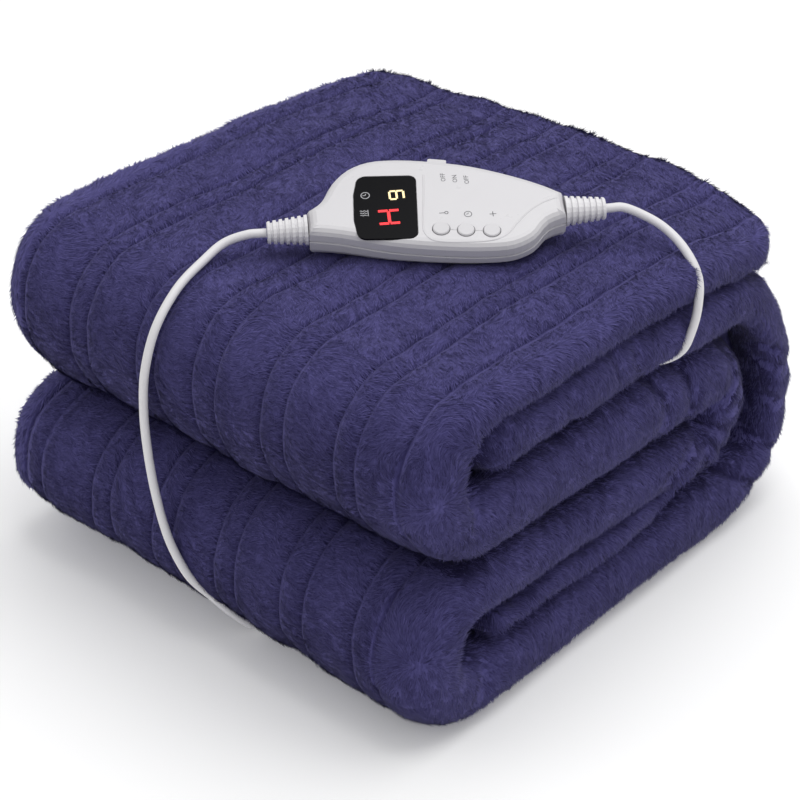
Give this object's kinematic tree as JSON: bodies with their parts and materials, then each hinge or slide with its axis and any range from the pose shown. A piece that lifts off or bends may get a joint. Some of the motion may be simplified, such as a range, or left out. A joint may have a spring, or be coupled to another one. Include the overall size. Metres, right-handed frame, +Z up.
{
  "type": "electric heated blanket with handset",
  "caption": "Folded plush electric heated blanket with quilted channels, a ribbed-lead handset with display, push buttons and slide switch, and a plug on a coiled mains lead.",
  "frame": {"origin": "middle of the folded blanket's footprint, on the surface it stands on", "axes": "+Z up; the two rounded double folds look along -Y, the layers' edges along -X and +X, and the outer fold runs up the +Y side"},
  "size_m": [0.3227, 0.4257, 0.2467],
  "materials": {
    "plush": "long-pile plush, navy",
    "white_plastic": "gloss moulded",
    "white_keys": "satin moulded",
    "black_window": "polished, behind which the display is lit",
    "white_sheath": "smooth flexible sheath",
    "plated_brass": "nickel-plated blades"
  },
  "bodies": {
    "pile": {"blanket": "plush", "handset_cover": "white_plastic", "handset_base": "white_plastic", "display_window": "black_window", "strain_relief_mains": "white_plastic", "strain_relief_blanket": "white_plastic", "mains_lead": "white_sheath", "blanket_lead": "white_sheath", "mains_tail": "white_sheath", "mains_coil": "white_sheath", "plug_body": "white_plastic", "plug_pin_1": "plated_brass", "plug_pin_2": "plated_brass"},
    "button_1": {"button_1": "white_keys"},
    "button_2": {"button_2": "white_keys"},
    "button_3": {"button_3": "white_keys"},
    "slide_switch": {"slide_switch": "white_keys"}
  },
  "joints": [
    {"name": "button_1_press", "type": "slide", "parent": "pile", "child": "button_1", "axis": [-0.191, 0.2213, -0.9563], "range_m": [0, 0.0008], "stiffness_N_per_m": 500, "springref_m": -0.0015},
    {"name": "button_2_press", "type": "slide", "parent": "pile", "child": "button_2", "axis": [-0.191, 0.2213, -0.9563], "range_m": [0, 0.0008], "stiffness_N_per_m": 500, "springref_m": -0.0015},
    {"name": "button_3_press", "type": "slide", "parent": "pile", "child": "button_3", "axis": [-0.191, 0.2213, -0.9563], "range_m": [0, 0.0008], "stiffness_N_per_m": 500, "springref_m": -0.0015},
    {"name": "switch_slide", "type": "slide", "parent": "pile", "child": "slide_switch", "axis": [0.821, 0.57, -0.0321], "range_m": [0, 0.0126]}
  ]
}
